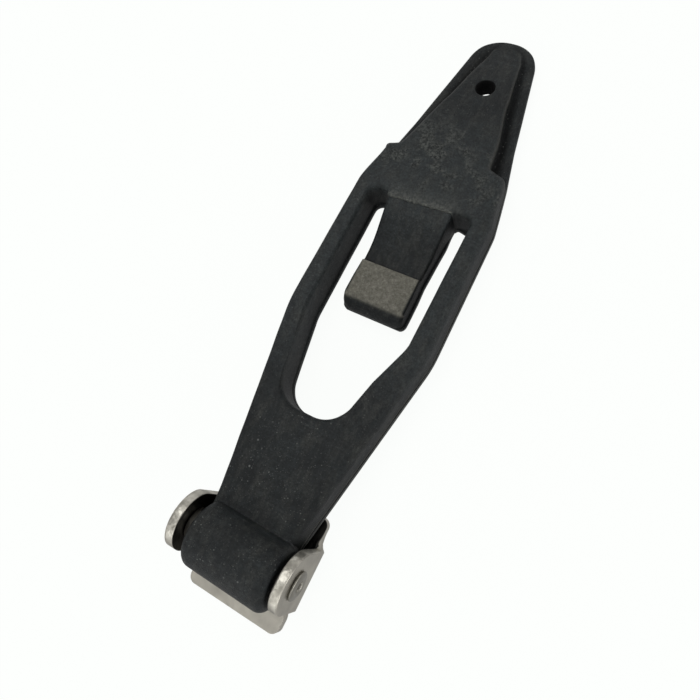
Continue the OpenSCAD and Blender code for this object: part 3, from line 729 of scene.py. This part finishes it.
def epdm_rubber():
    """EPDM rubber, compression moulded: matt black with a grey bloom that is thickest on the rails and the
    bridge, smears from handling, a fine grain, much light dust on the web and a soft broad gloss. Torn flash
    leaves a pale rough line, and sanding leaves the tongue's pad grey. Pale lines along the body's edges are
    partly moulding flash and partly painted highlight, and those along the tongue pad's edges are painted
    highlight. The channel beside the tab's panel is painted near black as shade, with light grit in it, and the
    tab's hole is painted black inside as shade."""
    m, t, shader = new_material("epdm_rubber_moulded")
    place = node(t, "TexCoord").outputs["Object"]
    axes = node(t, "SeparateXYZ", {0: place}).outputs
    upper = between(t, axes["Z"], 6.0 * MM, 8.2 * MM)
    far = times(t, between(t, axes["Y"], 30 * MM, 52 * MM), upper)
    bloom = ramp(t, grain(t, 7.0, 4.0), [(0.35, 0.0), (0.7, 1.0)])
    smear = ramp(t, grain(t, 2.6, 5.0, (0.8, 2.2, 1.0), turn=(0, 0, 0.35), rough=0.65),
                 [(0.46, 0.0), (0.7, 1.0)])
    cross = ramp(t, grain(t, 1.1, 3.0, (7.0, 0.6, 1.0), turn=(0, 0, -0.12)), [(0.5, 0.0), (0.64, 1.0)])
    fine = ramp(t, grain(t, 0.42, 5.0, rough=0.8), [(0.36, 0.0), (0.64, 1.0)])
    coarse = ramp(t, grain(t, 1.3, 4.0, rough=0.7), [(0.36, 0.0), (0.64, 1.0)])
    colour = mixed(t, bloom, linear("#1c2122"), linear("#2d3334"))
    colour = mixed(t, scaled(t, far, 0.6), colour, linear("#434a4b"))
    colour = mixed(t, scaled(t, smear, 0.6), colour, linear("#53544f"))
    colour = mixed(t, scaled(t, times(t, cross, bloom), 0.3), colour, linear("#4b5152"))
    colour = mixed(t, scaled(t, coarse, 0.45, 0.55), linear("#090c0d"), colour)
    colour = mixed(t, scaled(t, fine, -0.75, 0.75), colour, linear("#040506"))
    web = times(t, between(t, axes["Y"], 34 * MM, 22 * MM), upper)
    dusty = ramp(t, grain(t, 9.0, 2.0), [(0.38, 0.25), (0.6, 1.0)])
    more = scaled(t, web, 0.65, 0.35)
    for size, share, strength in ((0.34, 0.32, 0.55), (0.6, 0.14, 0.7), (1.0, 0.06, 0.75)):
        dust = times(t, times(t, specks(t, size, share, 0.2), dusty), more)
        colour = mixed(t, scaled(t, dust, strength), colour, linear("#80837f"))
    rough_mask = ramp(t, grain(t, 0.6, 4.0, rough=0.75), [(0.42, 0.0), (0.58, 1.0)])
    # rough patches on the bridge and the panel, where the mould is worn
    band = times(t, between(t, axes["Y"], 80 * MM, 84 * MM), between(t, axes["Y"], 106 * MM, 96 * MM))
    worn_mould = times(t, times(t, ramp(t, grain(t, 4.5, 3.0), [(0.5, 0.0), (0.6, 1.0)]), band), upper)
    colour = mixed(t, scaled(t, times(t, worn_mould, rough_mask), 0.6), colour, linear("#666964"))
    pits = times(t, worn_mould, scaled(t, rough_mask, -1.0, 1.0))
    colour = mixed(t, scaled(t, pits, 0.55), colour, linear("#0a0c0d"))
    step = attribute(t, "step")
    colour = mixed(t, times(t, step, scaled(t, rough_mask, 0.6, 0.3)), colour, linear("#747670"))
    # pale lines: moulding flash at the parting line, and painted highlight along the tab's outer edge, the body's
    # foot and flange edge, and the tongue pad's edges
    flash_and_highlight = attribute(t, "flash_and_highlight")
    colour = mixed(t, scaled(t, flash_and_highlight, 0.7), colour, linear("#77756d"))
    # painted shade: the channel beside the tab's panel and the foot of its wall are painted near black, with
    # light grit specks in it
    channel = attribute(t, "channel")
    colour = mixed(t, scaled(t, channel, 0.85), colour, linear("#060708"))
    bits = times(t, specks(t, 0.6, 0.45, 0.2), channel)
    colour = mixed(t, scaled(t, bits, 0.85), colour, linear("#7c7e79"))
    worn = attribute(t, "worn")
    mottle = ramp(t, grain(t, 0.7, 6.0, rough=0.8), [(0.3, "#56554f"), (0.5, "#767469"), (0.7, "#96938a")])
    colour = mixed(t, times(t, worn, scaled(t, rough_mask, 0.3, 0.8)), colour, mottle)
    # painted shade: the tab's hole is painted black inside, with a rougher gloss
    flat = node(t, "CombineXYZ", {0: axes["X"], 1: axes["Y"]}).outputs[0]
    from_hole = node(t, "VectorMath", {0: flat}, operation="DISTANCE")
    from_hole.inputs[1].default_value = HOLE_SPOT
    inside = between(t, from_hole.outputs["Value"], 2.3 * MM, 2.12 * MM)
    colour = mixed(t, inside, colour, linear("#000000"))
    t.links.new(colour, shader.inputs["Base Color"])
    gloss = node(t, "Math", {0: scaled(t, bloom, 0.06, 0.46), 1: scaled(t, worn, 0.25)}, operation="ADD")
    gloss = node(t, "Math", {0: gloss.outputs[0], 1: scaled(t, channel, 0.3)}, operation="ADD")
    gloss = node(t, "Math", {0: gloss.outputs[0], 1: scaled(t, inside, 0.45)}, operation="ADD",
                 use_clamp=True)
    t.links.new(gloss.outputs[0], shader.inputs["Roughness"])
    shader.inputs["IOR"].default_value = 1.36
    n = bump(t, fine, 0.035)
    n = bump(t, grain(t, 1.6, 3.0), 0.08, n)
    n = bump(t, times(t, grain(t, 0.35, 4.0, rough=0.7), worn), 0.1, n)
    n = bump(t, times(t, rough_mask, step), 0.14, n)
    n = bump(t, times(t, rough_mask, worn_mould), 0.1, n)
    n = bump(t, times(t, rough_mask, channel), 0.16, n)
    t.links.new(n, shader.inputs["Normal"])
    return m


def stainless(name, base, light, rough, grain_mm, ear_shade_glints_and_dents=False):
    """Stainless steel, tumbled after punching: an even satin with fine random scratches and small dents, so its
    broad faces look warm grey and its rounded edges catch the light. For the sheet, the ears' inner faces and the
    plate under the knuckle are painted black as shade and the rubber's dark reflection, and the ears' lower rims
    get painted bright and dark reflections over their dents."""
    m, t, shader = new_material(name)
    cloud = ramp(t, grain(t, 3.0, 4.0), [(0.3, 0.0), (0.7, 1.0)])
    colour = mixed(t, cloud, linear(base), linear(light))
    shader.inputs["Metallic"].default_value = 1.0
    scratch = grain(t, grain_mm, 4.0, (0.4, 3.0, 1.5), turn=(0.3, 0.2, 0.7))
    rub = node(t, "Math", {0: scaled(t, cloud, 0.08, rough), 1: scaled(t, scratch, 0.12)},
               operation="ADD").outputs[0]
    if ear_shade_glints_and_dents:
        place = node(t, "SeparateXYZ", {0: node(t, "TexCoord").outputs["Object"]}).outputs
        side = node(t, "Math", {0: place["X"]}, operation="ABSOLUTE").outputs[0]
        inner = between(t, side, 11.35 * MM, 11.15 * MM)
        # painted shade: the ears' inner faces beside the knuckle and the plate under it are painted black, for
        # shade and the rubber's dark reflection
        painted_gap_shade = times(t, inner, between(t, place["Z"], 3.0 * MM, 4.6 * MM))
        under_knuckle = times(t, times(t, inner, between(t, place["Z"], 1.5 * MM, 1.9 * MM)),
                              between(t, place["Y"], -6.5 * MM, -3.5 * MM))
        painted_gap_shade = node(t, "Math", {0: painted_gap_shade, 1: under_knuckle}, operation="MAXIMUM").outputs[0]
        # painted reflection: the ears' lower rims get darker and near-white mottle over their dents, standing in
        # for tumbled edges catching light
        rim = times(t, times(t, between(t, side, 11.2 * MM, 11.45 * MM),
                             between(t, side, 13.0 * MM, 12.75 * MM)),
                    between(t, place["Z"], 3.0 * MM, 5.0 * MM))
        dent_and_glint_noise = ramp(t, grain(t, 2.4, 3.0, rough=0.5), [(0.36, 0.0), (0.64, 1.0)])
        dark = times(t, rim, scaled(t, dent_and_glint_noise, -1.0, 1.0))
        colour = mixed(t, scaled(t, dark, 0.55), colour, linear("#8f8c82"))
        colour = mixed(t, scaled(t, times(t, rim, dent_and_glint_noise), 0.6), colour, linear("#f4f1e6"))
        # painted shade: near black where the gap's shade falls
        colour = mixed(t, scaled(t, painted_gap_shade, 0.95), colour, linear("#0b0b0b"))
    t.links.new(colour, shader.inputs["Base Color"])
    t.links.new(rub, shader.inputs["Roughness"])
    n = bump(t, scratch, 0.012)
    n = bump(t, grain(t, 0.9, 3.0), 0.06, n)
    if ear_shade_glints_and_dents:
        n = bump(t, times(t, dent_and_glint_noise, rim), 0.09, n)
    t.links.new(n, shader.inputs["Normal"])
    return m


HOLE_SPOT = (0.0, 0.10995, 0.0)
RUBBER = epdm_rubber()
SHEET = stainless("stainless_sheet_tumbled", "#bdb9ae", "#d2cec2", 0.34, 0.5, ear_shade_glints_and_dents=True)
RIVET = stainless("rivet_steel_rolled", "#98958c", "#b4b1a7", 0.28, 0.4)
SLEEVE = stainless("sleeve_steel_turned", "#a5a198", "#bdb9ae", 0.22, 0.3)


# ---------------------------------------------------------------- assembly

def dressed(obj, material, slot, *nodes):
    """Gives obj its material; slot is not used. It stands in for the CAD nodes named."""
    obj.data.materials.clear()
    obj.data.materials.append(material)
    if nodes:
        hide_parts(*nodes)
    return obj


strap = strap_skin()
cut(strap, drilled("tab_hole_cutter", 0, HOLE_Y, HOLE_R, HOLE_TOP, 4.2, panel_fall, True, neck=0.14))
dressed(strap, RUBBER, "epdm_rubber", "strap", "handle")
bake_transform(strap)
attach(dressed(knuckle_skin(), RUBBER, "epdm_rubber"), "strap")
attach(dressed(tongue_skin(), RUBBER, "epdm_rubber"), "handle")
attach(dressed(bracket_sheet(), SHEET, "stainless_sheet", "bracket"), "bracket")
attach(dressed(pivot_rivet(), RIVET, "rivet_steel", "pivot_rivet"), "bracket")
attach(dressed(pivot_sleeve(), SLEEVE, "sleeve_steel", "pivot_sleeve"), "bracket")


# ---------------------------------------------------------------- floor, light and camera

def studio():
    """A pale floor, a soft overhead light and an even room that is bright near the horizon."""
    a = np.linspace(-1, 1, 3) * 1500
    x, y = np.meshgrid(a, a)
    floor = solid("floor", [(np.stack([x, y, np.full_like(x, -0.15)], -1), False, False)])
    if floor.data.polygons[0].normal.z < 0:
        floor.data.flip_normals()
    m, t, shader = new_material("painted_floor")
    shader.inputs["Base Color"].default_value = (0.06, 0.061, 0.06, 1)
    shader.inputs["Roughness"].default_value = 1.0
    shader.inputs["Specular IOR Level"].default_value = 0.0
    shader.inputs["Emission Color"].default_value = (0.975, 0.99, 0.975, 1)
    shader.inputs["Emission Strength"].default_value = 0.965
    floor.data.materials.append(m)
    floor.visible_diffuse = floor.visible_glossy = False
    world = bpy.data.worlds.new("studio_room")
    bpy.context.scene.world = world
    world.use_nodes = True
    t = world.node_tree
    t.nodes.clear()
    up = node(t, "SeparateXYZ", {0: node(t, "TexCoord").outputs["Generated"]}).outputs["Z"]
    height = scaled(t, up, 0.5, 0.5)
    sky = ramp(t, height, [(0.40, 0.42), (0.485, 0.6), (0.498, 0.95), (0.62, 0.97), (0.69, 0.15),
                           (0.85, 0.12), (0.96, 0.34)])
    back = node(t, "Background", {"Color": sky}, Strength=1.0)
    node(t, "OutputWorld", {"Surface": back.outputs[0]})
    for name, size, energy, spot in (("overhead_softbox", 0.42, 1.25, (-0.12, 0.20, 0.60)),
                                     ("front_softbox", 0.40, 1.0, (-0.05, -0.50, 0.42)),
                                     ("side_softbox", 0.30, 0.45, (0.55, 0.0, 0.16))):
        lamp = bpy.data.lights.new(name, "AREA")
        lamp.shape, lamp.size, lamp.energy = "SQUARE", size, energy
        softbox = bpy.data.objects.new(name, lamp)
        spot = Vector(spot)
        softbox.location = spot
        softbox.rotation_euler = (spot - Vector((0, 0.05, 0.01))).to_track_quat("Z", "Y").to_euler()
        bpy.context.scene.collection.objects.link(softbox)
    bpy.context.scene.view_settings.view_transform = "Standard"


def camera():
    """A near view from above the bracket's right, looking down on the strap."""
    data = bpy.data.cameras.new("camera")
    data.sensor_width, data.lens, data.shift_x, data.shift_y = 36.0, 32.465, -0.0020, 0.0015
    data.clip_start = 0.005
    cam = bpy.data.objects.new("camera", data)
    right, up, back = (0.85458, 0.44995, -0.25929), (-0.38561, 0.88423, 0.26352), (0.34784, -0.12522, 0.92915)
    spot = (45.46 * MM, 28.08 * MM, 126.9 * MM)
    cam.matrix_world = Matrix([(right[i], up[i], back[i], spot[i]) for i in range(3)] + [(0, 0, 0, 1)])
    bpy.context.scene.collection.objects.link(cam)
    bpy.context.scene.camera = cam


studio()
camera()
